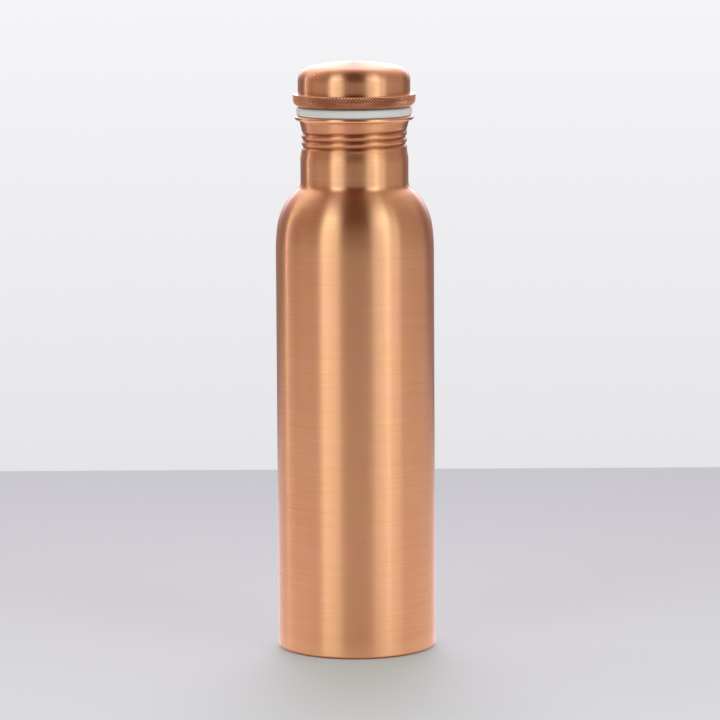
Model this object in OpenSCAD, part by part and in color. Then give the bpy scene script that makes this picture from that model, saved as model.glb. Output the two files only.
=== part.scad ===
// Copper water bottle with a screw plug cap. Millimetres, +Z up,
// origin on the bottle's axis in the plane that it stands on.

/* [Bottle] */
// Outside radius of the straight wall
body_r = 37; // [33:0.5:45]
// Height of the straight wall, from the foot to the start of the shoulder
straight_h = 188; // [120:1:240]
// Thickness of the copper sheet
sheet_t = 0.8; // [0.5:0.05:1.2]
// Outside radius where the wall turns under
base_corner_r = 1.6; // [1.4:0.1:3]
// Width of the turned-in foot that the bottle stands on
foot_w = 4; // [3:0.1:6]

/* [Base plate] */
// How far the plate's flat rim reaches in past the foot that it is brazed to
base_rim_over = 0.5; // [0.2:0.1:2]
// How far the middle of the plate is dished up
base_dish_h = 2.6; // [1:0.1:6]
// Gap between the plate's edge and the wall's inside corner
base_plate_gap = 0.1; // [0.05:0.05:0.4]

/* [Shoulder] */
// Radius of the slow curve that leaves the straight wall
ease_r = 80; // [60:1:90]
// Angle that the slow curve turns through
ease_deg = 8; // [5:0.5:10]
// Radius of the shoulder itself
shoulder_r = 28; // [24:0.5:34]
// Radius of the hollow between shoulder and neck
neck_fillet_r = 4; // [2:0.5:6]

/* [Neck] */
// Outside radius of the plain neck
neck_r = 25.2; // [21:0.1:30]
// Height of the plain neck
plain_neck_h = 11.4; // [6:0.1:20]
// Height of the taper between plain neck and threaded band
neck_taper_h = 3.6; // [2:0.1:6]
// How far the threaded band is drawn in from the plain neck
band_step = 0.6; // [0.3:0.1:1]
// Height of the flare above the threaded band
flare_h = 2.8; // [2:0.1:5]
// Outside radius at the top of the flare, over the plain neck's
flare_step = 0.1; // [0:0.1:1]

/* [Lip] */
// How far the lip stands out from the flare
lip_w = 2.4; // [1.5:0.1:4]
// Thickness of the lip
lip_t = 1.9; // [1.2:0.1:2.4]
// Radius of the hollow under the lip, if the lip is wide enough for it
lip_hollow_r = 1.45; // [0.5:0.05:2]
// Radius of the mouth's inside edge
mouth_edge_r = 0.7; // [0.3:0.1:0.8]

/* [Thread] */
// Rise for each turn of the single right-hand thread
pitch = 3.2; // [2.9:0.1:4]
// Depth of the rolled thread
thread_depth = 0.8; // [0.5:0.05:1]
// Width of the thread at its foot
thread_w = 1.8; // [1.4:0.1:1.9]
// Width of the thread at its crest
crest_w = 0.8; // [0.5:0.1:1]
// Turns of thread rolled into the neck
thread_turns = 2.75; // [2:0.05:2.9]
// Direction in which the thread starts, at its lower end
thread_start_deg = 110; // [0:1:359]
// Plain band below the thread's lower end
thread_lead_in = 0.8; // [0.5:0.1:2]
// Plain band above the thread's upper end
thread_lead_out = 0.2; // [0.2:0.1:2]
// Clearance between the two threads, all round
thread_gap = 0.3; // [0.2:0.05:0.5]

/* [Washer] */
// How far the silicone washer sits in from the lip's edge
washer_inset = 0.7; // [0:0.1:1.5]
// Thickness of the washer
washer_t = 4; // [2:0.1:6]
// Radius of the washer's outer edges
washer_edge_r = 1.2; // [0.3:0.1:1.5]
// Clearance between the washer's hole and the plug
washer_gap = 0.2; // [0.1:0.05:0.5]

/* [Collar] */
// How far the knurl stands out past the lip
collar_over = 1.1; // [0.5:0.1:4]
// Height of the knurled collar
collar_h = 6; // [5:0.1:10]
// Radius of the collar's underside
collar_round_r = 4; // [2:0.1:4.5]
// Thickness of the collar's floor
collar_floor_t = 1.5; // [0.8:0.1:2]

/* [Dome] */
// Width of the ledge between the knurl and the dome's side
ledge_w = 2.6; // [1.5:0.1:3.2]
// Height of the dome above the collar
dome_h = 15.2; // [12:0.1:20]
// Radius between the dome's side and its crown
dome_corner_r = 7; // [4:0.1:9]
// How far the crown rises above the top of the corner
crown_rise = 2; // [0.5:0.1:4]

/* [Plug] */
// How far the plug reaches down below the mouth
plug_depth = 17.6; // [15:0.1:20]
// Thickness of the plug's threaded sleeve
sleeve_t = 2; // [1.6:0.1:3]
// Gap between the sleeve's flange and the inside of the dome
flange_gap = 0.1; // [0.05:0.05:0.4]
// Height of the rim that closes the plug's lower end
plug_disc_h = 3.2; // [2:0.1:5]
// How far the closing disc sits above the end of the sleeve
plug_disc_set = 0.6; // [0.2:0.1:2]

/* [Hidden] */
$fn = 180;

copper = "#c07a4b";
silicone = "#cfd2cf";

// Slack that carries a cutting shape past the face it cuts
past = 1;
// Steps in one turn of thread, and the stretch over which a thread fades out
turn_steps = 40;
fade_deg = 45;
// How far a cut thread's foot stands off the surface that it cuts
cut_off = 0.3;

// Inside radius of the turned-in foot
foot_inner_r = body_r - base_corner_r - foot_w;

// Centres of the shoulder's curves, worked out so that each curve meets the next one smoothly
ease_x = body_r - ease_r;
shoulder_x = ease_x + (ease_r - shoulder_r) * cos(ease_deg);
shoulder_z = straight_h + (ease_r - shoulder_r) * sin(ease_deg);
fillet_x = neck_r + neck_fillet_r;
fillet_reach = shoulder_r + neck_fillet_r;
fillet_z = shoulder_z + sqrt(pow(fillet_reach, 2) - pow(fillet_x - shoulder_x, 2));
shoulder_end_deg = atan2(fillet_z - shoulder_z, fillet_x - shoulder_x);

// Heights up the neck, where the threaded band is as high as its thread needs
taper_z = fillet_z + plain_neck_h;
band_z = taper_z + neck_taper_h;
thread_z = band_z + thread_lead_in;
band_top_z = thread_z + thread_turns * pitch + thread_lead_out;
flare_top_z = band_top_z + flare_h;
lip_fillet_r = min(lip_hollow_r, lip_w - lip_t / 2);
mouth_z = flare_top_z + lip_fillet_r + lip_t;

// Radii up the neck
band_r = neck_r - band_step;
flare_r = neck_r + flare_step;
lip_r = flare_r + lip_w;
mouth_r = flare_r - sheet_t;

// The plug runs inside the band, and its groove takes the thread rolled into the neck
band_inner_r = band_r - sheet_t;
plug_r = band_inner_r - thread_gap;
bore_r = plug_r - sleeve_t;
plug_z = mouth_z - plug_depth;

// The cap's rings follow the lip
washer_r = lip_r - washer_inset;
collar_r = lip_r + collar_over;
dome_r = collar_r - ledge_w;

// Heights up the cap
collar_z = mouth_z + washer_t;
collar_floor_z = collar_z + collar_floor_t;
collar_top_z = collar_z + collar_h;
apex_z = collar_top_z + dome_h;

// The crown is a shallow curve that the corner runs into smoothly
corner_x = dome_r - dome_corner_r;
corner_z = apex_z - crown_rise - dome_corner_r;
crown_r = (pow(corner_x, 2) + pow(crown_rise, 2)) / (2 * crown_rise) + dome_corner_r;
crown_z = apex_z - crown_r;
crown_deg = atan2(corner_x, corner_z - crown_z);

// A box in the plane of revolution, from one corner to the other
module span(low, high) {
    translate(low) square([high[0] - low[0], high[1] - low[1]]);
}

// A circle in the plane of revolution
module disc_at(x, z, r) {
    translate([x, z]) circle(r = r);
}

// Straight wall and the corner where it turns under
module wall_outline(inset) {
    corner_r = base_corner_r - inset;
    corner_at = body_r - base_corner_r;
    span([0, inset], [corner_at, straight_h]);
    span([0, base_corner_r], [body_r - inset, straight_h]);
    disc_at(corner_at, base_corner_r, corner_r);
}

// The two curves of the shoulder and the hollow that runs into the neck. Each starts a little below
// the curve before it ends, inside it, so that they join as one outline.
module shoulder_outline(inset) {
    ease_top = straight_h + (ease_r - inset) * sin(ease_deg);
    curve_top = shoulder_z + (shoulder_r - inset) * sin(shoulder_end_deg);
    curve_end_x = shoulder_x + (shoulder_r - inset) * cos(shoulder_end_deg);
    intersection() {
        disc_at(ease_x, straight_h, ease_r - inset);
        span([0, straight_h - past], [body_r, ease_top]);
    }
    intersection() {
        disc_at(shoulder_x, shoulder_z, shoulder_r - inset);
        span([0, ease_top - past], [body_r, curve_top]);
    }
    difference() {
        span([0, curve_top - past], [curve_end_x, fillet_z]);
        disc_at(fillet_x, fillet_z, neck_fillet_r + inset);
    }
}

// Plain neck, threaded band and flare. The neck's column runs down through the shoulder to the straight
// wall, so that the shoulder is filled to its axis however wide the body is.
module neck_outline(inset) {
    polygon([
        [0, straight_h - past],
        [neck_r - inset, straight_h - past],
        [neck_r - inset, taper_z],
        [band_r - inset, band_z],
        [band_r - inset, band_top_z],
        [flare_r - inset, flare_top_z],
        [0, flare_top_z]
    ]);
}

// Flat lip with a round edge, and the hollow under it
module lip_outline() {
    lip_z = mouth_z - lip_t;
    edge_r = lip_t / 2;
    difference() {
        span([0, flare_top_z], [flare_r + lip_fillet_r, lip_z + edge_r]);
        disc_at(flare_r + lip_fillet_r, flare_top_z, lip_fillet_r);
    }
    span([0, lip_z], [lip_r - edge_r, mouth_z]);
    disc_at(lip_r - edge_r, lip_z + edge_r, edge_r);
}

// The mouth's opening, with a rounded inside edge
module mouth_opening() {
    edge_z = mouth_z - mouth_edge_r;
    span([0, flare_top_z], [mouth_r, mouth_z + past]);
    difference() {
        span([0, edge_z], [mouth_r + mouth_edge_r, mouth_z + past]);
        disc_at(mouth_r + mouth_edge_r, edge_z, mouth_edge_r);
    }
}

module outline(inset) {
    wall_outline(inset);
    shoulder_outline(inset);
    neck_outline(inset);
}

// How far a thread has come up at an angle along it: 0 at both ends and 1 between them
function fade(angle, whole) = min(1, angle / fade_deg, (whole - angle) / fade_deg);

// The four corners of a thread's section at one angle along it. The section reaches from foot_r to a
// crest that comes up from faint_r, where the thread vanishes, to crest_r.
function section(angle, whole, start_deg, start_z, foot_r, faint_r, crest_r, foot_half, crest_half) =
    let (tip_r = faint_r + (crest_r - faint_r) * fade(angle, whole))
    let (z = start_z + pitch * angle / 360)
    let (c = cos(start_deg + angle), s = sin(start_deg + angle))
    [
        [foot_r * c, foot_r * s, z - foot_half],
        [foot_r * c, foot_r * s, z + foot_half],
        [tip_r * c, tip_r * s, z + crest_half],
        [tip_r * c, tip_r * s, z - crest_half]
    ];

// A single-start right-hand thread as one solid, its crest nearer the axis than its foot
module thread(turns, start_deg, start_z, foot_r, faint_r, crest_r, foot_half, crest_half) {
    whole = turns * 360;
    steps = ceil(turns * turn_steps);
    rings = [for (i = [0 : steps])
        section(whole * i / steps, whole, start_deg, start_z, foot_r, faint_r, crest_r,
                foot_half, crest_half)];
    last = 4 * steps;
    sides = [for (i = [0 : steps - 1], j = [0 : 3])
        let (a = 4 * i + j, b = 4 * i + (j + 1) % 4)
        each [[a, b, b + 4], [a, b + 4, a + 4]]];
    ends = [[0, 2, 1], [0, 3, 2], [last, last + 1, last + 2], [last, last + 2, last + 3]];
    polyhedron(points = [for (ring = rings) each ring], faces = concat(sides, ends));
}

// Slope of a thread's flank: how much narrower it gets for each millimetre of depth, on one side
flank = (thread_w - crest_w) / (2 * thread_depth);

// The groove pressed into the outside of the neck
module neck_groove() {
    thread(thread_turns, thread_start_deg, thread_z, band_r + cut_off, band_r + cut_off / 2,
           band_r - thread_depth, thread_w / 2 + flank * cut_off, crest_w / 2);
}

// The ridge that the groove raises on the inside of the neck
module neck_ridge() {
    foot_r = band_r - sheet_t / 2;
    thread(thread_turns, thread_start_deg, thread_z, foot_r, band_inner_r + sheet_t / 4,
           band_inner_r - thread_depth, thread_w / 2 + flank * (foot_r - band_inner_r), crest_w / 2);
}

// The groove cut in the plug, open at its lower end so that it can leave the neck's ridge
module plug_groove() {
    extra_turns = ceil((thread_z - plug_z) / pitch + 1);
    turns = thread_turns + extra_turns + 2 * fade_deg / 360;
    thread(turns, thread_start_deg, thread_z - extra_turns * pitch, plug_r + cut_off,
           plug_r + cut_off / 2, plug_r - thread_depth,
           thread_w / 2 + thread_gap + flank * cut_off, crest_w / 2 + thread_gap);
}

// Drawn wall, shoulder, neck and lip in one sheet, turned in at the bottom as a foot
module body_shell() {
    color(copper) difference() {
        union() {
            rotate_extrude() difference() {
                union() {
                    outline(0);
                    lip_outline();
                }
                outline(sheet_t);
                mouth_opening();
            }
            neck_ridge();
        }
        translate([0, 0, -past]) cylinder(r = foot_inner_r, h = sheet_t + 2 * past);
        neck_groove();
    }
}

// Pressed plate with a flat rim, brazed on top of the foot
module base_plate() {
    plate_r = body_r - base_corner_r - base_plate_gap;
    dish_r = foot_inner_r - base_rim_over;
    dish_curve_r = (pow(dish_r, 2) + pow(base_dish_h, 2)) / (2 * base_dish_h);
    dish_top = sheet_t + base_dish_h + sheet_t;
    color(copper) rotate_extrude() {
        difference() {
            intersection() {
                disc_at(0, dish_top - dish_curve_r - sheet_t, dish_curve_r + sheet_t);
                span([0, sheet_t], [dish_r, dish_top]);
            }
            disc_at(0, dish_top - dish_curve_r - sheet_t, dish_curve_r);
        }
        span([dish_r - sheet_t, sheet_t], [plate_r, 2 * sheet_t]);
    }
}

// Soft ring squeezed between the lip and the collar
module seal_washer() {
    hole_r = plug_r + washer_gap;
    edge_x = washer_r - washer_edge_r;
    color(silicone) rotate_extrude() {
        span([hole_r, mouth_z], [edge_x, collar_z]);
        span([edge_x, mouth_z + washer_edge_r], [washer_r, collar_z - washer_edge_r]);
        disc_at(edge_x, mouth_z + washer_edge_r, washer_edge_r);
        disc_at(edge_x, collar_z - washer_edge_r, washer_edge_r);
    }
}

// Ring that the fingers grip, with a floor that the dome and the plug are brazed to
module knurled_collar() {
    round_x = collar_r - collar_round_r;
    round_z = collar_z + collar_round_r;
    color(copper) rotate_extrude() difference() {
        union() {
            span([plug_r, collar_z], [round_x, collar_top_z]);
            span([round_x, round_z], [collar_r, collar_top_z]);
            intersection() {
                disc_at(round_x, round_z, collar_round_r);
                span([round_x, collar_z], [collar_r, round_z]);
            }
        }
        span([0, collar_floor_z], [dome_r, collar_top_z + past]);
        span([0, collar_z - past], [plug_r, collar_top_z + past]);
    }
}

// Outline of the dome, from the collar's floor up
module dome_outline(inset) {
    side_r = dome_r - inset;
    span([0, collar_floor_z], [side_r, corner_z]);
    disc_at(corner_x, corner_z, dome_corner_r - inset);
    intersection() {
        disc_at(0, crown_z, crown_r - inset);
        span([0, corner_z], [(crown_r - inset) * sin(crown_deg), apex_z]);
    }
}

// Spun dome whose skirt stands inside the collar
module cap_dome() {
    color(copper) rotate_extrude() difference() {
        dome_outline(0);
        dome_outline(sheet_t);
    }
}

// Threaded sleeve that hangs from the collar's floor by a flange
module plug_sleeve() {
    flange_r = dome_r - sheet_t - flange_gap;
    flange_top = collar_floor_z + sheet_t;
    color(copper) difference() {
        rotate_extrude() {
            span([bore_r, plug_z], [plug_r, flange_top]);
            span([bore_r, collar_floor_z], [flange_r, flange_top]);
        }
        plug_groove();
    }
}

// Shallow cup brazed into the lower end of the sleeve
module plug_disc() {
    low = plug_z + plug_disc_set;
    wall_r = bore_r - sheet_t;
    color(copper) rotate_extrude() {
        span([0, low], [wall_r, low + sheet_t]);
        span([wall_r, low + sheet_t], [bore_r, low + plug_disc_h]);
        intersection() {
            disc_at(wall_r, low + sheet_t, sheet_t);
            span([wall_r, low], [bore_r, low + sheet_t]);
        }
    }
}

body_shell();
base_plate();
seal_washer();
knurled_collar();
cap_dome();
plug_sleeve();
plug_disc();
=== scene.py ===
import math

import bpy
from mathutils import Matrix, Vector


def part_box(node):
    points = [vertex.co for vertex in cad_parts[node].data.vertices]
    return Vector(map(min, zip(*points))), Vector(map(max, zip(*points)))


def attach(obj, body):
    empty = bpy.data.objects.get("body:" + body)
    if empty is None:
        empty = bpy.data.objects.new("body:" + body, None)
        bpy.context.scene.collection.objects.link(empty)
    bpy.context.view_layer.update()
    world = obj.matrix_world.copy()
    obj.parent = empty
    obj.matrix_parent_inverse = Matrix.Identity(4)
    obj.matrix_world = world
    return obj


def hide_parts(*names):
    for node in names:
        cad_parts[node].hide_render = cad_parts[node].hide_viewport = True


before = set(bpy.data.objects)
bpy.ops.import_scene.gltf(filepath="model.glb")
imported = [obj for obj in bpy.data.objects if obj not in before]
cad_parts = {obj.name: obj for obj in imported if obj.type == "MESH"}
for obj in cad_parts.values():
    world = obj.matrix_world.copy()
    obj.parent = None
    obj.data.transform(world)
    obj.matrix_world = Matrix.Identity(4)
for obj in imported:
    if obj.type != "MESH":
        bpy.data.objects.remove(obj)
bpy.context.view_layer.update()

# Lengths below are in millimetres, and every mesh is built in metres.
MM = 0.001

# How far off a face a point may be and still count as on it, and the shortest step of an outline
NEAR = 0.01
SHORTEST_STEP = 0.001

# Outer radii and heights of the pieces, taken from the frame
BODY_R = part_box("body_shell")[1].x / MM
MOUTH_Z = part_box("body_shell")[1].z / MM
PLATE_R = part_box("base_plate")[1].x / MM
PLATE_LOW, PLATE_TOP = (corner.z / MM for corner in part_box("base_plate"))
WASHER_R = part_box("seal_washer")[1].x / MM
WASHER_LOW, WASHER_TOP = (corner.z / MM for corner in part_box("seal_washer"))
COLLAR_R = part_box("knurled_collar")[1].x / MM
COLLAR_LOW, COLLAR_TOP = (corner.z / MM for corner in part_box("knurled_collar"))
DOME_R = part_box("cap_dome")[1].x / MM
DOME_LOW, APEX_Z = (corner.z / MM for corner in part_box("cap_dome"))
FLANGE_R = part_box("plug_sleeve")[1].x / MM
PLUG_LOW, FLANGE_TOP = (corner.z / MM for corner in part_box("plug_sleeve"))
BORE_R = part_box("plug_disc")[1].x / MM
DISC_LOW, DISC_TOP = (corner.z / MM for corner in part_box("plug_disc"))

# Sheet, wall, base and shoulder. The shoulder eases off the straight wall before it curves in.
SHEET = 0.8
BASE_CORNER_R = 1.6
FOOT_W = 4.0
BASE_RIM_OVER = 0.5
PRESS_R = 1.5
BEND_H = 0.1
STRAIGHT_H = 188.0
EASE_R = 80.0
EASE_DEG = 8.0
SHOULDER_R = 28.0
NECK_FILLET_R = 4.0

# Neck, lip and rolled thread. The thread runs along a band that is a little narrower than the neck.
NECK_R = 25.2
PLAIN_NECK_H = 11.4
NECK_TAPER_H = 3.6
BAND_R = NECK_R - 0.6
FLARE_R = NECK_R + 0.1
FLARE_H = 2.8
LIP_R = FLARE_R + 2.4
LIP_T = 1.9
LIP_FILLET_R = 1.45
MOUTH_EDGE_R = 0.7
PITCH = 3.2
THREAD_DEPTH = 0.8
THREAD_TURNS = 2.75
THREAD_START_DEG = 110.0
THREAD_LEAD_IN = 0.8
THREAD_FADE_DEG = 60.0
THREAD_VALLEY_R = 0.3

# Washer, collar, dome and plug
WASHER_EDGE_R = 1.2
WASHER_GAP = 0.2
COLLAR_ROUND_R = 4.0
COLLAR_FLOOR = 1.5
DOME_CORNER_R = 7.0
CROWN_RISE = 2.0
DOME_FILLET_R = 0.5
THREAD_GAP = 0.3
CUT_TOP_HALF_W = 1.2
CUT_FLOOR_HALF_W = 0.7
PLUG_R = BAND_R - SHEET - THREAD_GAP
PLUG_CHAMFER = 0.5

# Diamonds round the collar, and the steps that each one is drawn with
DIAMONDS = 120
DIAMOND_STEPS = 6
DIAMOND_W = 2 * math.pi * COLLAR_R / DIAMONDS
KNURL_DEPTH = 0.52
KNURL_RUN_IN = 0.3
EDGE_BREAK = 0.15

# Segments round each turned piece
AROUND = 192

# How near the axis the outline of a closed piece starts: a radius for a flat one, an angle for a dished one
POLE_R = 0.2
POLE_DEG = 0.4


# ---- modelling helpers

def start_clean():
    """Leaves nothing selected and no object in edit mode."""
    if bpy.context.object and bpy.context.object.mode != "OBJECT":
        bpy.ops.object.mode_set(mode="OBJECT")
    bpy.ops.object.select_all(action="DESELECT")


def arc(centre_r, centre_z, radius, first_deg, last_deg, steps):
    """Points (r, z) along an arc of an outline, both ends included."""
    points = []
    for i in range(steps + 1):
        angle = math.radians(first_deg + (last_deg - first_deg) * i / steps)
        points.append((centre_r + radius * math.cos(angle), centre_z + radius * math.sin(angle)))
    return points


def line(r0, z0, r1, z1, steps):
    """Points (r, z) along a straight stretch of an outline, without its first one."""
    return [(r0 + (r1 - r0) * i / steps, z0 + (z1 - z0) * i / steps) for i in range(1, steps + 1)]


def turn(name, outline, closed=True, around=AROUND):
    """A turned piece: one ring of edges drawn along the outline, and joined to itself if it's closed."""
    start_clean()
    outline = [p for p, q in zip(outline, outline[1:] + [(-1, -1)]) if math.dist(p, q) > SHORTEST_STEP]
    radius, height = outline[0]
    bpy.ops.mesh.primitive_circle_add(vertices=around, radius=radius * MM)
    piece = bpy.context.object
    piece.name = piece.data.name = name
    bpy.ops.object.mode_set(mode="EDIT")
    bpy.ops.mesh.select_all(action="SELECT")
    bpy.ops.transform.translate(value=(0, 0, height * MM))
    for next_radius, next_height in outline[1:]:
        rise = (next_height - height) * MM
        bpy.ops.mesh.extrude_edges_move(TRANSFORM_OT_translate={"value": (0, 0, rise)})
        if next_radius == 0:
            bpy.ops.mesh.merge(type="CENTER")
            break
        scale = next_radius / radius
        bpy.ops.transform.resize(value=(scale, scale, 1))
        radius, height = next_radius, next_height
    if closed:
        bpy.ops.mesh.select_all(action="DESELECT")
        bpy.ops.mesh.select_non_manifold()
        bpy.ops.mesh.bridge_edge_loops()
    bpy.ops.mesh.select_all(action="SELECT")
    bpy.ops.mesh.normals_make_consistent(inside=False)
    bpy.ops.object.mode_set(mode="OBJECT")
    return piece


def measure(piece, amount):
    """What amount(r, z, angle) gives at each point of the piece."""
    points = ([c / MM for c in vertex.co] for vertex in piece.data.vertices)
    return [amount(math.hypot(x, y), z, math.atan2(y, x)) for x, y, z in points]


def mark(piece, name, weights):
    """Keeps one number from 0 to 1 at each point, which the material reads. A piece without it reads 0."""
    marks = piece.data.attributes.new(name, "FLOAT", "POINT")
    marks.data.foreach_set("value", weights)


def press(piece, name, weights, depth):
    """Moves the surface in along its normals, by depth times the weight at each point."""
    group = piece.vertex_groups.new(name=name)
    for index, weight in enumerate(weights):
        if weight > 0:
            group.add([index], weight, "REPLACE")
    displace = piece.modifiers.new(name, "DISPLACE")
    displace.vertex_group = name
    displace.strength = -depth * MM
    displace.mid_level = 0
    apply_modifier(piece, displace)
    piece.vertex_groups.remove(piece.vertex_groups[name])


def apply_modifier(piece, modifier):
    """Makes what the modifier does part of the piece's own mesh."""
    start_clean()
    piece.select_set(True)
    bpy.context.view_layer.objects.active = piece
    bpy.ops.object.modifier_apply(modifier=modifier.name)


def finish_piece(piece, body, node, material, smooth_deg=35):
    """Smooths the piece, gives it its finish, and puts it in its CAD node's place."""
    start_clean()
    piece.select_set(True)
    bpy.context.view_layer.objects.active = piece
    bpy.ops.object.shade_smooth_by_angle(angle=math.radians(smooth_deg))
    piece.data.materials.clear()
    piece.data.materials.append(material)
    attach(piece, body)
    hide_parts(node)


# ---- outlines of the turned pieces, as points (r, z)

def shoulder_centres():
    """Centres of the shoulder's curve and of the hollow above it, and the angle where they meet."""
    ease = math.radians(EASE_DEG)
    curve_r = BODY_R - EASE_R + (EASE_R - SHOULDER_R) * math.cos(ease)
    curve_z = STRAIGHT_H + (EASE_R - SHOULDER_R) * math.sin(ease)
    hollow_r = NECK_R + NECK_FILLET_R
    rise = math.sqrt((SHOULDER_R + NECK_FILLET_R) ** 2 - (hollow_r - curve_r) ** 2)
    return curve_r, curve_z, hollow_r, curve_z + rise, math.degrees(math.atan2(rise, hollow_r - curve_r))


CURVE_R, CURVE_Z, HOLLOW_R, HOLLOW_Z, MEET_DEG = shoulder_centres()
TAPER_Z = HOLLOW_Z + PLAIN_NECK_H
BAND_Z = TAPER_Z + NECK_TAPER_H
FLARE_TOP_Z = MOUTH_Z - LIP_T - LIP_FILLET_R
BAND_TOP_Z = FLARE_TOP_Z - FLARE_H
THREAD_Z = BAND_Z + THREAD_LEAD_IN


def wall_line(inset, band_steps):
    """The wall from its foot to the top of the flare, set in from the outside by inset."""
    corner_r = BODY_R - BASE_CORNER_R
    points = [(corner_r - FOOT_W, inset)]
    points += arc(corner_r, BASE_CORNER_R, BASE_CORNER_R - inset, -90, 0, 8)
    points += line(BODY_R - inset, BASE_CORNER_R, BODY_R - inset, STRAIGHT_H, 24)
    points += arc(BODY_R - EASE_R, STRAIGHT_H, EASE_R - inset, 0, EASE_DEG, 8)[1:]
    points += arc(CURVE_R, CURVE_Z, SHOULDER_R - inset, EASE_DEG, MEET_DEG, 22)[1:]
    points += arc(HOLLOW_R, HOLLOW_Z, NECK_FILLET_R + inset, MEET_DEG - 180, -180, 10)[1:]
    points += line(NECK_R - inset, HOLLOW_Z, NECK_R - inset, TAPER_Z, 4)
    points += line(NECK_R - inset, TAPER_Z, BAND_R - inset, BAND_Z, 8)
    points += line(BAND_R - inset, BAND_Z, BAND_R - inset, BAND_TOP_Z, band_steps)
    points += line(BAND_R - inset, BAND_TOP_Z, FLARE_R - inset, FLARE_TOP_Z, 8)
    return points


def shell_outline():
    """Up the outside of the wall, over the lip and down the inside."""
    lip_z = MOUTH_Z - LIP_T
    edge_r = LIP_T / 2
    mouth_r = FLARE_R - SHEET
    points = wall_line(0, 64)
    points += arc(FLARE_R + LIP_FILLET_R, FLARE_TOP_Z, LIP_FILLET_R, 180, 90, 6)[1:]
    points += arc(LIP_R - edge_r, lip_z + edge_r, edge_r, -90, 90, 12)
    points += arc(mouth_r + MOUTH_EDGE_R, MOUTH_Z - MOUTH_EDGE_R, MOUTH_EDGE_R, 90, 180, 6)
    points += line(mouth_r, MOUTH_Z - MOUTH_EDGE_R, mouth_r, FLARE_TOP_Z, 2)
    return points + wall_line(SHEET, 44)[::-1][1:]


# ---- rolled threads

def thread_depth_at(z, angle, low_z, turns, section):
    """How deep a right-hand thread is at a height and an angle, from 0 to 1.

    Its section gives the depth at a distance from the middle of the groove.
    """
    past_start = (math.degrees(angle) - THREAD_START_DEG) % 360
    deepest = 0
    for whole in range(math.ceil(turns) + 1):
        along = past_start + 360 * whole
        off = abs(z - low_z - PITCH * along / 360)
        fade = min(along, turns * 360 - along) / THREAD_FADE_DEG
        if off < PITCH / 2 and fade > 0:
            swell = 0.5 - 0.5 * math.cos(math.pi * min(1, fade))
            deepest = max(deepest, swell * section(off))
    return deepest


def rolled_section(off):
    """Narrow valleys between full round crests, as a roller leaves them in sheet."""
    valley = math.hypot(off, THREAD_VALLEY_R) / math.hypot(PITCH / 2, THREAD_VALLEY_R)
    shallow = math.sin(math.pi / 2 * THREAD_VALLEY_R / math.hypot(PITCH / 2, THREAD_VALLEY_R))
    return (1 - math.sin(math.pi / 2 * valley)) / (1 - shallow)


def cut_section(off):
    """Flat floor and sloped flanks, as a tool cuts them."""
    return min(1, max(0, (CUT_TOP_HALF_W - off) / (CUT_TOP_HALF_W - CUT_FLOOR_HALF_W)))


def neck_thread(r, z, angle):
    """The thread rolled in the neck's narrow band, on both faces of the sheet."""
    if r > FLARE_R + 0.5 or not BAND_Z - 1 < z < FLARE_TOP_Z:
        return 0
    return thread_depth_at(z, angle, THREAD_Z, THREAD_TURNS, rolled_section)


# ---- pieces

OUTER_FACE = wall_line(0, 2)


def outside_radius(z):
    """Radius of the wall's outer face at a height, without its thread."""
    for (low_r, low_z), (high_r, high_z) in zip(OUTER_FACE, OUTER_FACE[1:]):
        if low_z <= z < high_z:
            return low_r + (high_r - low_r) * (z - low_z) / (high_z - low_z)
    return LIP_R


def is_inside(r, z, angle):
    """1 on the inner face of the wall, which the brush doesn't reach, and 0 outside."""
    if z > FLARE_TOP_Z - NEAR:
        return 1.0 if r < FLARE_R - SHEET + NEAR and z < MOUTH_Z - MOUTH_EDGE_R else 0.0
    return 1.0 if z > SHEET - NEAR and r < outside_radius(z) - SHEET / 2 else 0.0


# How much of the raw face shows on the threaded band and the flare, where the lip keeps the brush off
UNDER_LIP = 0.35


def unbrushed(r, z, angle):
    """1 on the inner face, UNDER_LIP above the plain neck, and 0 on the rest of the outside."""
    if is_inside(r, z, angle) or z < TAPER_Z or r > LIP_R - 1:
        return is_inside(r, z, angle)
    return UNDER_LIP * min(1, (z - TAPER_Z) / NECK_TAPER_H)


# How bright hands rub the lip's rim, how bright the foot's corner is drawn, partly as wear and partly as
# painted highlight, and how far each reaches each way
LIP_RUB, LIP_RUB_W = 0.5, 0.6
FOOT_WEAR_AND_SHEEN, FOOT_WEAR_AND_SHEEN_Z, FOOT_WEAR_AND_SHEEN_W = 0.4, 1.8, 0.9

# Painted shade along the foot's lower edge: full below the first height less the second, and gone above the
# first.
FOOT_SHADE_TOP_Z = 1.3
FOOT_SHADE_FADE_H = 0.6


def edge_wear_and_sheen(r, z, angle):
    """Edges drawn bright: the lip's rim, which use keeps bright, and a little the corner of the foot,
    partly wear and partly painted highlight.
    """
    lip = foot = 0
    if z > MOUTH_Z - LIP_T - 0.1:
        lip = LIP_RUB * max(0, 1 - abs(r - LIP_R + LIP_RUB_W / 2) / LIP_RUB_W)
    if r > BODY_R - BASE_CORNER_R:
        foot = FOOT_WEAR_AND_SHEEN * max(0, 1 - abs(z - FOOT_WEAR_AND_SHEEN_Z) / FOOT_WEAR_AND_SHEEN_W)
    return max(lip, foot)


def foot_shade_line(r, z, angle):
    """1 along the foot's lower edge, where shade is painted above the table."""
    return min(1, max(0, FOOT_SHADE_TOP_Z - z) / FOOT_SHADE_FADE_H) if r > BODY_R - BASE_CORNER_R else 0


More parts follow.
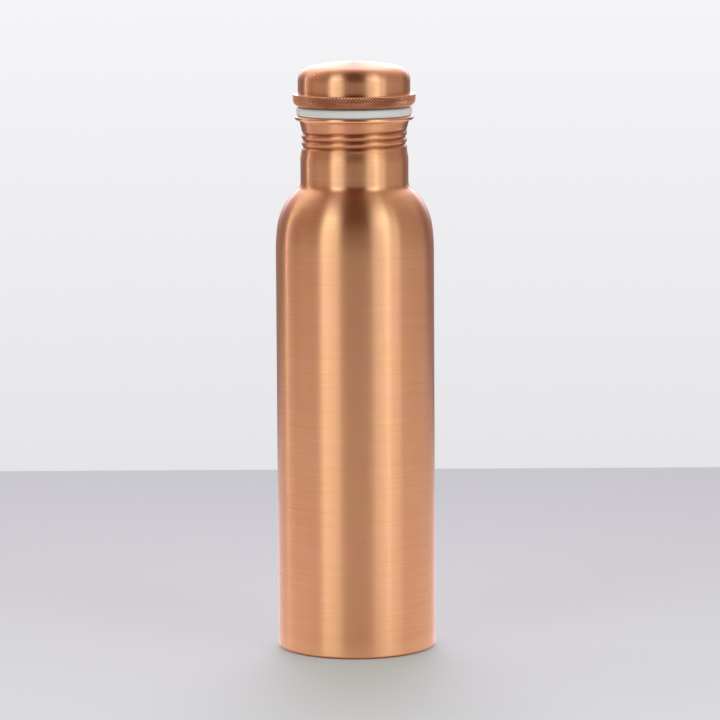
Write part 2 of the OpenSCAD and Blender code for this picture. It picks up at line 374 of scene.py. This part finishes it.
def make_body_shell(material):
    """Drawn and spun wall, neck and lip in one sheet, with the thread rolled in from the outside."""
    shell = turn("bottle_wall", shell_outline())
    thread = measure(shell, neck_thread)
    inside = measure(shell, is_inside)
    groove = [depth * (1 - inner) for depth, inner in zip(thread, inside)]
    ridge = [depth * inner for depth, inner in zip(thread, inside)]
    # Painted shade: the outer thread grooves and the foot's lower edge are darkened in the copper's colour
    foot_shade = measure(shell, foot_shade_line)
    mark(shell, "recess_shade", [max(depths) for depths in zip(groove, foot_shade)])
    mark(shell, "unbrushed", measure(shell, unbrushed))
    # Wear on the lip's rim, and on the foot's corner partly wear and partly painted highlight
    mark(shell, "wear_and_sheen", measure(shell, edge_wear_and_sheen))
    press(shell, "groove", groove, THREAD_DEPTH)
    press(shell, "ridge", ridge, -THREAD_DEPTH)
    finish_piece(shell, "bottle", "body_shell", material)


def make_washer(material):
    """Soft ring with round outer edges."""
    hole_r = PLUG_R + WASHER_GAP
    edge_r = WASHER_R - WASHER_EDGE_R
    outline = [(hole_r, WASHER_LOW)]
    outline += arc(edge_r, WASHER_LOW + WASHER_EDGE_R, WASHER_EDGE_R, -90, 0, 8)
    outline += arc(edge_r, WASHER_TOP - WASHER_EDGE_R, WASHER_EDGE_R, 0, 90, 8)
    outline += [(hole_r, WASHER_TOP)]
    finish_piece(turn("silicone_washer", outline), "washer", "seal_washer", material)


def collar_outline():
    """Round the ring from its ledge, down the knurl, along the floor and up the bore."""
    row = DIAMOND_W / DIAMOND_STEPS
    round_z = COLLAR_LOW + COLLAR_ROUND_R
    side_steps = math.floor((COLLAR_TOP - EDGE_BREAK - round_z) / row)
    round_steps = math.ceil(COLLAR_ROUND_R * math.pi / 2 / row)
    outline = [(DOME_R, COLLAR_TOP), (COLLAR_R - 3 * EDGE_BREAK, COLLAR_TOP)]
    outline += [(COLLAR_R - EDGE_BREAK, COLLAR_TOP), (COLLAR_R, COLLAR_TOP - EDGE_BREAK)]
    outline += line(COLLAR_R, COLLAR_TOP - EDGE_BREAK, COLLAR_R, round_z, side_steps)
    outline += arc(COLLAR_R - COLLAR_ROUND_R, round_z, COLLAR_ROUND_R, 0, -90, round_steps)[1:]
    outline += [(PLUG_R, COLLAR_LOW), (PLUG_R, COLLAR_LOW + COLLAR_FLOOR)]
    return outline + [(DOME_R, COLLAR_LOW + COLLAR_FLOOR)]


def knurl(r, z, angle):
    """How deep the two crossing sets of grooves are: 0 on the diamonds' points, and 1 in the grooves."""
    round_r = COLLAR_R - COLLAR_ROUND_R
    round_z = COLLAR_LOW + COLLAR_ROUND_R
    if r < round_r + 0.5 or z > COLLAR_TOP - NEAR or r < DOME_R and z > COLLAR_LOW + 1:
        return 0
    down = COLLAR_TOP - z
    if z < round_z:
        down = COLLAR_TOP - round_z + COLLAR_ROUND_R * math.atan2(round_z - z, r - round_r)
    along = angle / (2 * math.pi) * DIAMONDS

    def flank(turns):
        return 2 * abs(turns - round(turns))

    run_in = min(1, down / KNURL_RUN_IN)
    return run_in * (1 - min(flank(along + down / DIAMOND_W), flank(along - down / DIAMOND_W)))


def diamond_wear_and_glints(r, z, angle):
    """1 on the points of the diamonds, drawn bright partly as wear from fingers and partly as painted
    glints.
    """
    return max(0, 1 - 1.8 * knurl(r, z, angle)) if r > COLLAR_R - COLLAR_ROUND_R else 0


def make_collar(material):
    """Ring with a diamond knurl over all of its side and under its curve.

    The painted shade in the grooves is drawn wider than they are, since one diamond is only 1.5 mm across.
    """
    ring = turn("knurled_ring", collar_outline(), around=DIAMONDS * DIAMOND_STEPS)
    grooves = measure(ring, knurl)
    # Painted shade in the knurl's grooves
    mark(ring, "recess_shade", [min(1, 1.6 * depth) for depth in grooves])
    # Paler diamond points: partly wear, partly painted glints
    mark(ring, "wear_and_sheen", measure(ring, diamond_wear_and_glints))
    press(ring, "knurl", grooves, KNURL_DEPTH)
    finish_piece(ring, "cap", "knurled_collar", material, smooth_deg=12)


def dome_line(inset):
    """The dome from its skirt to its top, set in from the outside by inset."""
    corner_r = DOME_R - DOME_CORNER_R
    corner_z = APEX_Z - CROWN_RISE - DOME_CORNER_R
    crown_r = (corner_r ** 2 + CROWN_RISE ** 2) / (2 * CROWN_RISE) + DOME_CORNER_R
    crown_z = APEX_Z - crown_r
    meet_deg = math.degrees(math.atan2(corner_z - crown_z, corner_r))
    side_r = DOME_R - inset
    points = [(side_r, DOME_LOW), (side_r, COLLAR_TOP - 0.05)]
    if inset == 0:
        fillet = DOME_FILLET_R
        points += arc(side_r + fillet, COLLAR_TOP + fillet, fillet, -125, -180, 4)
    points += line(side_r, COLLAR_TOP + 0.6, side_r, corner_z, 4)
    points += arc(corner_r, corner_z, DOME_CORNER_R - inset, 0, meet_deg, 24)[1:]
    points += arc(0, crown_z, crown_r - inset, meet_deg, 90, 28)[1:-1]
    return points


def close_poles(piece):
    """Closes the small rings left on the axis, each with a fan of faces to its middle."""
    start_clean()
    piece.select_set(True)
    bpy.context.view_layer.objects.active = piece
    bpy.ops.object.mode_set(mode="EDIT")
    bpy.ops.mesh.select_all(action="DESELECT")
    bpy.ops.mesh.select_non_manifold()
    bpy.ops.mesh.edge_face_add()
    bpy.ops.mesh.poke()
    bpy.ops.mesh.select_all(action="SELECT")
    bpy.ops.mesh.normals_make_consistent(inside=False)
    bpy.ops.object.mode_set(mode="OBJECT")


def make_dome(material):
    """Spun dome, closed at its top, with a skirt inside the collar."""
    dome = turn("spun_dome", dome_line(SHEET)[::-1] + dome_line(0), closed=False)
    close_poles(dome)
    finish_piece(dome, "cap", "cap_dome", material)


def dish_line(radius, centre_z, edge_r, steps):
    """A shallow dish about a centre far below on the axis, from close to its middle out to edge_r."""
    last_deg = math.degrees(math.acos(edge_r / radius))
    return arc(0, centre_z, radius, 90 - POLE_DEG, last_deg, steps)


def make_base_plate(material):
    """Pressed plate, dished up in the middle, whose flat rim is brazed on the turned-in foot."""
    foot_r = BODY_R - BASE_CORNER_R - FOOT_W
    dish_r = foot_r - BASE_RIM_OVER
    dish_h = PLATE_TOP - PLATE_LOW - SHEET
    curve_r = (dish_r ** 2 + dish_h ** 2) / (2 * dish_h)
    centre_z = PLATE_LOW + dish_h - curve_r
    under_r = dish_r - PRESS_R
    over_r = dish_r - SHEET - PRESS_R
    bend_r = dish_r - 0.4 * PRESS_R
    edge = SHEET / 2
    outline = dish_line(curve_r, centre_z, under_r, 24)
    outline += [(bend_r, PLATE_LOW + BEND_H), (dish_r + PRESS_R, PLATE_LOW)]
    outline += arc(PLATE_R - edge, PLATE_LOW + edge, edge, -90, 90, 8)
    outline += [(dish_r + PRESS_R, PLATE_LOW + SHEET), (bend_r, PLATE_LOW + SHEET + BEND_H)]
    outline += dish_line(curve_r + SHEET, centre_z, over_r, 24)[::-1]
    plate = turn("pressed_base", outline, closed=False)
    close_poles(plate)
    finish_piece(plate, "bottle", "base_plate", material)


def plug_thread(r, z, angle):
    """The groove cut in the plug's outside, which runs out of its lower end."""
    if r < PLUG_R - NEAR or z > MOUTH_Z:
        return 0
    extra_turns = math.ceil((THREAD_Z - PLUG_LOW) / PITCH + 1)
    turns = THREAD_TURNS + extra_turns + 2 * THREAD_FADE_DEG / 360
    return thread_depth_at(z, angle, THREAD_Z - extra_turns * PITCH, turns, cut_section)


def make_plug_sleeve(material):
    """Sleeve with a thread cut in it, hung from the collar's floor by its flange."""
    flange_low = FLANGE_TOP - SHEET
    chamfer = PLUG_CHAMFER
    outline = [(BORE_R + chamfer / 2, PLUG_LOW)]
    outline += [(PLUG_R - chamfer, PLUG_LOW), (PLUG_R, PLUG_LOW + chamfer)]
    outline += line(PLUG_R, PLUG_LOW + chamfer, PLUG_R, flange_low, 110)
    outline += [(FLANGE_R - chamfer / 2, flange_low), (FLANGE_R, flange_low + chamfer / 2)]
    outline += [(FLANGE_R, FLANGE_TOP - chamfer / 2), (FLANGE_R - chamfer / 2, FLANGE_TOP)]
    outline += [(BORE_R + chamfer / 2, FLANGE_TOP), (BORE_R, FLANGE_TOP - chamfer / 2)]
    outline += line(BORE_R, FLANGE_TOP - chamfer / 2, BORE_R, PLUG_LOW + chamfer / 2, 12)
    sleeve = turn("threaded_plug", outline)
    groove = measure(sleeve, plug_thread)
    # Painted shade along the groove of the thread
    mark(sleeve, "recess_shade", groove)
    press(sleeve, "groove", groove, THREAD_DEPTH)
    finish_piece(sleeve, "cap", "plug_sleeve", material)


def make_plug_disc(material):
    """Pressed cup that closes the plug, with a round edge and a turned-up wall."""
    wall_r = BORE_R - SHEET
    floor_z = DISC_LOW + SHEET
    floor_r = wall_r - 0.2 * SHEET
    outline = [(POLE_R, DISC_LOW)] + line(POLE_R, DISC_LOW, wall_r, DISC_LOW, 12)
    outline += arc(wall_r, floor_z, SHEET, -90, 0, 8)[1:]
    outline += line(BORE_R, floor_z, BORE_R, DISC_TOP, 3)
    outline += [(wall_r, DISC_TOP), (wall_r, DISC_LOW + 1.2 * SHEET), (floor_r, floor_z)]
    outline += line(floor_r, floor_z, POLE_R, floor_z, 12)
    disc = turn("plug_cup", outline, closed=False)
    close_poles(disc)
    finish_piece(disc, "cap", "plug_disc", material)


# ---- materials

def colour(code):
    """Linear colour and full alpha from an sRGB hex code."""
    parts = [int(code[i:i + 2], 16) / 255 for i in (1, 3, 5)]
    return [p / 12.92 if p <= 0.04045 else ((p + 0.055) / 1.055) ** 2.4 for p in parts] + [1]


def add_node(tree, kind, inputs=None, links=None, **settings):
    """Adds a node: settings are its own, inputs are socket values, links are (socket, output)."""
    node = tree.nodes.new(kind)
    for name, value in settings.items():
        setattr(node, name, value)
    for name, value in (inputs or {}).items():
        node.inputs[name].default_value = value
    for name, source in (links or {}).items():
        tree.links.new(source, node.inputs[name])
    return node


# Copper: how often a brushed ring changes along its length, per metre, and the width of its soft clouds
RING_DRIFT = 25
CLOUD_MM = 14

# Copper as drawn, which nothing has brushed, and the pale copper of polished wear, which also serves as
# painted highlight on the foot's corner and the knurl's points
RAW_TONE = "#c07a54"
WEAR_AND_SHEEN_TONE = "#f2bd98"

# What adds to copper's roughness: its lines at their roughest, an unbrushed face, and a rubbed edge
LINE_ROUGH = 0.12
UNBRUSHED_ROUGH = 0.12
RUBBED_ROUGH = -0.1


def new_material(name):
    """An empty material of that name, and its nodes."""
    material = bpy.data.materials.new(name)
    material.use_nodes = True
    material.node_tree.nodes.clear()
    return material, material.node_tree


def turned_copper(name, tones, line_mm, roughness, anisotropy, line_depth):
    """Copper worked on a lathe: fine rings round the axis, and highlights drawn out along it.

    The tones are the two that the rings alternate between, the rosier one of the metal's clouds, and
    the painted shade in its recesses. Lines are line_mm apart and line_depth deep, both in millimetres, and
    the roughness is the brushed face's mean.
    """
    material, tree = new_material(name)
    place = add_node(tree, "ShaderNodeTexCoord")
    rings = add_node(tree, "ShaderNodeMapping", {"Scale": (RING_DRIFT, RING_DRIFT, 1 / (line_mm * MM))},
                     {"Vector": place.outputs["Object"]})
    fine = add_node(tree, "ShaderNodeTexNoise", {"Scale": 1, "Detail": 3, "Roughness": 0.7},
                    {"Vector": rings.outputs["Vector"]})
    cloud = add_node(tree, "ShaderNodeTexNoise", {"Scale": 1 / (CLOUD_MM * MM), "Detail": 2},
                     {"Vector": place.outputs["Object"]})
    cloudy = add_node(tree, "ShaderNodeMapRange", {"From Min": 0.4, "From Max": 0.7, "To Max": 0.5},
                      {"Value": cloud.outputs["Fac"]})
    metal = add_node(tree, "ShaderNodeMixRGB", {"Color1": colour(tones[0]), "Color2": colour(tones[1])},
                     {"Fac": fine.outputs["Fac"]})
    rosy = add_node(tree, "ShaderNodeMixRGB", {"Color2": colour(tones[2])},
                    {"Fac": cloudy.outputs["Result"], "Color1": metal.outputs["Color"]})
    # Painted shade: this mark darkens the colour toward the last tone in grooves and along the foot
    recess_shade = add_node(tree, "ShaderNodeAttribute", attribute_name="recess_shade")
    deep = add_node(tree, "ShaderNodeMath", {1: 1.5}, {0: recess_shade.outputs["Fac"]}, operation="POWER")
    painted_shade_mix = add_node(tree, "ShaderNodeMixRGB", {"Color2": colour(tones[3])},
                     {"Fac": deep.outputs["Value"], "Color1": rosy.outputs["Color"]})
    unbrushed = add_node(tree, "ShaderNodeAttribute", attribute_name="unbrushed")
    raw = add_node(tree, "ShaderNodeMixRGB", {"Color2": colour(RAW_TONE)},
                   {"Fac": unbrushed.outputs["Fac"], "Color1": painted_shade_mix.outputs["Color"]})
    # Paler where this mark is: wear on the lip's rim, and on the foot's corner and the knurl's points
    # partly wear and partly painted highlight
    wear_and_sheen = add_node(tree, "ShaderNodeAttribute", attribute_name="wear_and_sheen")
    bright = add_node(tree, "ShaderNodeMixRGB", {"Color2": colour(WEAR_AND_SHEEN_TONE)},
                      {"Fac": wear_and_sheen.outputs["Fac"], "Color1": raw.outputs["Color"]})
    grain = add_node(tree, "ShaderNodeMath", {1: LINE_ROUGH, 2: roughness - LINE_ROUGH / 2},
                     {0: fine.outputs["Fac"]}, operation="MULTIPLY_ADD")
    matt = add_node(tree, "ShaderNodeMath", {1: UNBRUSHED_ROUGH},
                    {0: unbrushed.outputs["Fac"], 2: grain.outputs["Value"]}, operation="MULTIPLY_ADD")
    worn = add_node(tree, "ShaderNodeMath", {1: RUBBED_ROUGH},
                    {0: wear_and_sheen.outputs["Fac"], 2: matt.outputs["Value"]}, operation="MULTIPLY_ADD")
    bump = add_node(tree, "ShaderNodeBump", {"Strength": 1, "Distance": line_depth * MM},
                    {"Height": fine.outputs["Fac"]})
    tangent = add_node(tree, "ShaderNodeTangent", direction_type="RADIAL", axis="Z")
    shader = add_node(tree, "ShaderNodeBsdfPrincipled",
                      {"Metallic": 1, "Anisotropic": anisotropy, "Anisotropic Rotation": 0.25},
                      {"Base Color": bright.outputs["Color"], "Roughness": worn.outputs["Value"],
                       "Normal": bump.outputs["Normal"], "Tangent": tangent.outputs["Tangent"]})
    add_node(tree, "ShaderNodeOutputMaterial", links={"Surface": shader.outputs["BSDF"]})
    return material


# Silicone rubber: the grains of its moulded skin to a metre, their depth, and how far light soaks in
SKIN_GRAINS = 900
SKIN_DEPTH_MM = 0.02
SOAK_MM = 1.5


def white_silicone():
    """Moulded silicone rubber: milky, since light soaks into it, with a faint matt skin that dulls it."""
    material, tree = new_material("white_silicone")
    place = add_node(tree, "ShaderNodeTexCoord")
    grain = add_node(tree, "ShaderNodeTexNoise", {"Scale": SKIN_GRAINS, "Detail": 4},
                     {"Vector": place.outputs["Object"]})
    bump = add_node(tree, "ShaderNodeBump", {"Strength": 0.3, "Distance": SKIN_DEPTH_MM * MM},
                    {"Height": grain.outputs["Fac"]})
    shader = add_node(tree, "ShaderNodeBsdfPrincipled",
                      {"Base Color": colour("#d6dad6"), "Roughness": 0.5, "Subsurface Weight": 0.4,
                       "Subsurface Radius": (1, 1, 1), "Subsurface Scale": SOAK_MM * MM, "IOR": 1.41},
                      {"Normal": bump.outputs["Normal"]})
    add_node(tree, "ShaderNodeOutputMaterial", links={"Surface": shader.outputs["BSDF"]})
    return material


def painted_glow_board():
    """Matt acrylic in a soft grey, painted darker to the back as light falloff, with a painted glow under
    the bottle that lifts its shade.

    Its painted glow on the copper is kept stronger than its own tone.
    """
    material, tree = new_material("acrylic_board_painted_glow")
    place = add_node(tree, "ShaderNodeTexCoord")
    axes = add_node(tree, "ShaderNodeSeparateXYZ", links={"Vector": place.outputs["Object"]})
    # Painted light falloff: the board is darker toward the back
    depth = add_node(tree, "ShaderNodeMapRange", {"From Min": -0.2, "From Max": 0.5},
                     {"Value": axes.outputs["Y"]})
    tone = add_node(tree, "ShaderNodeMixRGB", {"Color1": colour("#a9b1ae"), "Color2": colour("#878f8e")},
                    {"Fac": depth.outputs["Result"]})
    # Painted glow: the board emits light, more for what the copper sees than for the camera
    seen = add_node(tree, "ShaderNodeBsdfPrincipled",
                    {"Roughness": 0.7, "Emission Color": colour("#ffffff"), "Emission Strength": 0.22},
                    {"Base Color": tone.outputs["Color"]})
    glow = add_node(tree, "ShaderNodeBsdfPrincipled",
                    {"Base Color": colour("#f8f8f8"), "Roughness": 0.7,
                     "Emission Color": colour("#ffffff"), "Emission Strength": 0.28})
    path = add_node(tree, "ShaderNodeLightPath")
    mix = add_node(tree, "ShaderNodeMixShader", links={"Fac": path.outputs["Is Camera Ray"]})
    tree.links.new(glow.outputs["BSDF"], mix.inputs[1])
    tree.links.new(seen.outputs["BSDF"], mix.inputs[2])
    add_node(tree, "ShaderNodeOutputMaterial", links={"Surface": mix.outputs["Shader"]})
    return material


# ---- camera, stage and light. Places and sizes here are in metres.

CAMERA_AT = (0.0021, -1.8146, 0.3778)
CAMERA_DOWN_DEG = 7.6
CAMERA_ROLL_DEG = -0.32
LENS_MM = 195
SENSOR_MM = 36

# Width and depth of the table's top, and its middle, which lies just below the bottle's foot
TABLE_SIZE = (2, 1.517)
TABLE_AT = (0, -0.241, -0.0001)

# The height that every softbox is aimed at: the middle of the bottle
AIM_Z = 0.14

# The left and right softboxes burn a little cool, so that the copper's highlights stay gold, not orange.
LEFT_TINT = "#ecffff"
RIGHT_TINT = "#e9fdff"


def make_camera():
    """A long lens 1.8 m away, looking a little down on the bottle, with a slight roll."""
    lens = bpy.data.cameras.new("camera")
    lens.lens = LENS_MM
    lens.sensor_width = SENSOR_MM
    camera = bpy.data.objects.new("camera", lens)
    bpy.context.scene.collection.objects.link(camera)
    tilt = Matrix.Rotation(math.radians(90 - CAMERA_DOWN_DEG), 4, "X")
    roll = Matrix.Rotation(math.radians(CAMERA_ROLL_DEG), 4, "Z")
    camera.matrix_world = Matrix.Translation(CAMERA_AT) @ tilt @ roll
    bpy.context.scene.camera = camera


def make_stage():
    """Pale table top that ends half a metre behind the bottle."""
    start_clean()
    bpy.ops.mesh.primitive_plane_add(size=1, location=TABLE_AT)
    table = bpy.context.object
    table.name = "table_top"
    table.scale = (*TABLE_SIZE, 1)
    bpy.ops.object.transform_apply(location=True, rotation=True, scale=True)
    table.data.materials.append(painted_glow_board())


def softbox(name, azimuth, distance, height, width, tall, watts, tint="#ffffff"):
    """An area light that faces the bottle's axis. Azimuth 0 is the camera's side, and 90 is its right."""
    light = bpy.data.lights.new(name, "AREA")
    light.shape = "RECTANGLE"
    light.size, light.size_y = width, tall
    light.energy = watts
    light.color = colour(tint)[:3]
    lamp = bpy.data.objects.new(name, light)
    bpy.context.scene.collection.objects.link(lamp)
    angle = math.radians(azimuth)
    lamp.location = (distance * math.sin(angle), -distance * math.cos(angle), height)
    aim = Vector((0, 0, AIM_Z)) - lamp.location
    lamp.rotation_euler = aim.to_track_quat("-Z", "Y").to_euler()


def make_light():
    """Two wide softboxes, each with a narrow brighter core, draw the two long highlights.

    Two more above them light the shoulder and the dome, a thin one draws the line down the left edge,
    and two fill in from behind.
    """
    softbox("left_box", -37, 1.3, 0.5, 0.74, 1.2, 3.3, LEFT_TINT)
    softbox("left_core", -45, 1.3, 0.5, 0.2, 1.2, 0.5, LEFT_TINT)
    softbox("right_box", 47, 1.3, 0.5, 1.08, 1.2, 4.0, RIGHT_TINT)
    softbox("right_core", 48, 1.3, 0.5, 0.14, 1.2, 0.7, RIGHT_TINT)
    softbox("left_high", -40, 1.3, 1.16, 0.5, 0.7, 2.6, LEFT_TINT)
    softbox("right_high", 46, 1.3, 1.16, 0.6, 0.7, 2.8, RIGHT_TINT)
    softbox("left_edge", -117, 1.0, 0.6, 0.02, 1.2, 0.8)
    softbox("left_fill", -140, 0.9, 1.0, 0.8, 0.8, 1.4)
    softbox("right_fill", 140, 0.9, 1.0, 0.8, 0.8, 0.8)


# The room that the copper mirrors, as (azimuth, light, tint): dark by the camera and paler at the sides,
# with narrow dark flags beside the edges
ROOM = [
    (-180, 0.27, "#ffe0d2"), (-140, 0.29, "#ffe0d2"), (-127, 0.21, "#ffd2ba"), (-121, 0.21, "#ffd2ba"),
    (-112, 0.36, "#ffe0d2"), (-106, 0.35, "#ffdccb"), (-101, 0.22, "#ffd2ba"), (-93, 0.26, "#ffd2ba"),
    (-86, 0.37, "#ffdccb"), (-26, 0.08, "#ff9a66"), (26, 0.08, "#ff9a66"), (84, 0.39, "#ffe6dc"),
    (112, 0.35, "#ffe6dc"), (124, 0.32, "#ffe0d2"), (129, 0.2, "#ffd2ba"), (134, 0.22, "#ffd2ba"),
    (142, 0.28, "#ffe0d2"), (180, 0.27, "#ffe0d2"),
]

# How much brighter the strip of wall behind the bottle is than its own tone, once clear of the table
WALL_GLARE = 3.3


def make_world():
    """Pale backdrop to the eye. The pieces see a warm grey room with a white wall behind them."""
    world = bpy.data.worlds.new("studio")
    bpy.context.scene.world = world
    world.use_nodes = True
    tree = world.node_tree
    tree.nodes.clear()
    place = add_node(tree, "ShaderNodeTexCoord")
    axes = add_node(tree, "ShaderNodeSeparateXYZ", links={"Vector": place.outputs["Generated"]})
    toward = add_node(tree, "ShaderNodeMath", {1: -1}, {0: axes.outputs["Y"]}, operation="MULTIPLY")
    azimuth = add_node(tree, "ShaderNodeMath", operation="ARCTAN2",
                       links={0: axes.outputs["X"], 1: toward.outputs["Value"]})
    round_room = add_node(tree, "ShaderNodeMapRange", {"From Min": -math.pi, "From Max": math.pi},
                          {"Value": azimuth.outputs["Value"]})
    room_tones = add_node(tree, "ShaderNodeValToRGB", links={"Fac": round_room.outputs["Result"]})
    stops = room_tones.color_ramp.elements
    stops.remove(stops[1])
    for number, (degrees, light, tint) in enumerate(ROOM):
        stop = stops.new(degrees / 360 + 0.5) if number else stops[0]
        stop.color = [light * part for part in colour(tint)[:3]] + [1]
    across = add_node(tree, "ShaderNodeMath", links={0: axes.outputs["X"]}, operation="ABSOLUTE")
    strip = add_node(tree, "ShaderNodeMapRange", {"From Min": 0.5, "From Max": 0.2},
                     {"Value": across.outputs["Value"]})
    behind = add_node(tree, "ShaderNodeMapRange", {"From Min": 0.4, "From Max": 0.6},
                      {"Value": axes.outputs["Y"]})
    above = add_node(tree, "ShaderNodeMapRange", {"From Min": 0.04, "From Max": 0.15, "To Max": WALL_GLARE},
                     {"Value": axes.outputs["Z"]})
    back = add_node(tree, "ShaderNodeMath", operation="MULTIPLY",
                    links={0: strip.outputs["Result"], 1: behind.outputs["Result"]})
    glare = add_node(tree, "ShaderNodeMath", operation="MULTIPLY",
                     links={0: back.outputs["Value"], 1: above.outputs["Result"]})
    lit_wall = add_node(tree, "ShaderNodeBackground", {"Color": colour("#e8e2ff")},
                        {"Strength": glare.outputs["Value"]})
    upward = add_node(tree, "ShaderNodeMapRange",
                      {"From Min": -0.05, "From Max": 0.35, "To Min": 1, "To Max": 1.5},
                      {"Value": axes.outputs["Z"]})
    room = add_node(tree, "ShaderNodeBackground",
                    links={"Color": room_tones.outputs["Color"], "Strength": upward.outputs["Result"]})
    around = add_node(tree, "ShaderNodeAddShader",
                      links={0: room.outputs["Background"], 1: lit_wall.outputs["Background"]})
    fade = add_node(tree, "ShaderNodeMapRange",
                    {"From Min": -0.16, "From Max": -0.04, "To Min": 0.8, "To Max": 0.93},
                    {"Value": axes.outputs["Z"]})
    wall = add_node(tree, "ShaderNodeBackground", {"Color": colour("#fdfcff")},
                    {"Strength": fade.outputs["Result"]})
    path = add_node(tree, "ShaderNodeLightPath")
    mix = add_node(tree, "ShaderNodeMixShader", links={"Fac": path.outputs["Is Camera Ray"]})
    tree.links.new(around.outputs["Shader"], mix.inputs[1])
    tree.links.new(wall.outputs["Background"], mix.inputs[2])
    add_node(tree, "ShaderNodeOutputWorld", links={"Surface": mix.outputs["Shader"]})


make_camera()
make_stage()
make_light()
make_world()
bpy.context.scene.view_settings.view_transform = "Standard"

# Sheet copper brushed round and round on the lathe: warm pink metal, whose highlights are drawn out into
# long soft streaks. Real brush lines are about 0.1 mm apart, too fine to show, so these are coarser.
brushed = turned_copper("brushed_copper", ("#e8b287", "#cf9569", "#dfa284", "#8f5434"),
                        line_mm=0.5, roughness=0.34, anisotropy=0.92, line_depth=0.006)
# Turned copper with a rolled knurl, in tones paler than the wall's as painted highlight: pale points and
# painted shade in the grooves, so the ring looks grainy and darker.
knurled = turned_copper("knurled_copper", ("#ffcca4", "#f8b890", "#fabca0", "#7e3a20"),
                        line_mm=0.35, roughness=0.32, anisotropy=0, line_depth=0.002)
# Copper with a thread cut in it, left as it came off the tool: close shiny bands, with painted shade on the
# groove floors.
threaded = turned_copper("threaded_copper", ("#e0a47c", "#cf906a", "#d89a80", "#8a5236"),
                         line_mm=0.35, roughness=0.34, anisotropy=0.3, line_depth=0.003)
# Sheet copper straight from the press, which nothing brushes: browner and duller than the wall.
pressed = turned_copper("pressed_copper", ("#d39c76", "#bd855e", "#cc8e74", "#6e3d26"),
                        line_mm=0.6, roughness=0.48, anisotropy=0.4, line_depth=0.01)

make_body_shell(brushed)
make_base_plate(pressed)
make_washer(white_silicone())
make_collar(knurled)
make_dome(brushed)
make_plug_sleeve(threaded)
make_plug_disc(pressed)
